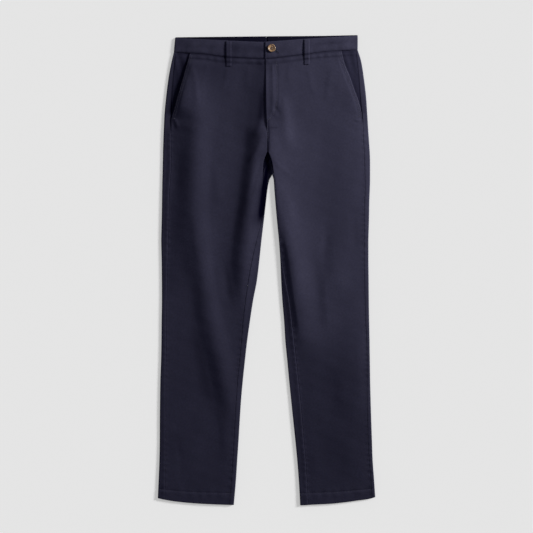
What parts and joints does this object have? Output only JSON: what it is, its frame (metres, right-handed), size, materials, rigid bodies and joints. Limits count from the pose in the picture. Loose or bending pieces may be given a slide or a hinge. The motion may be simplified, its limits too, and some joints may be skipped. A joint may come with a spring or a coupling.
{
  "type": "chino trousers",
  "caption": "Slim straight chino trousers laid flat, with slanted pockets, belt loops, a buttoned waistband and a covered fly.",
  "frame": {"origin": "middle of the rectangle that the laid-out garment covers, on the surface it lies on", "axes": "+Y up the legs to the waistband, +Z away from the surface, the wearer's left at +X"},
  "size_m": [0.4954, 1.0707, 0.0106],
  "materials": {
    "twill": "matt cotton twill",
    "horn": "mottled horn effect, satin",
    "thread": "matt thread"
  },
  "bodies": {
    "root": {"front_leg_right": "twill", "front_leg_left": "twill", "back_leg_right": "twill", "back_leg_left": "twill", "pocket_facing_right": "twill", "pocket_facing_left": "twill", "fly_shield": "twill", "waistband_right": "twill", "waistband_left": "twill", "belt_loop_front_right": "twill", "belt_loop_front_left": "twill", "belt_loop_back_right": "twill", "belt_loop_back_centre": "twill", "belt_loop_back_left": "twill", "button": "horn", "button_thread": "thread"}
  },
  "joints": []
}
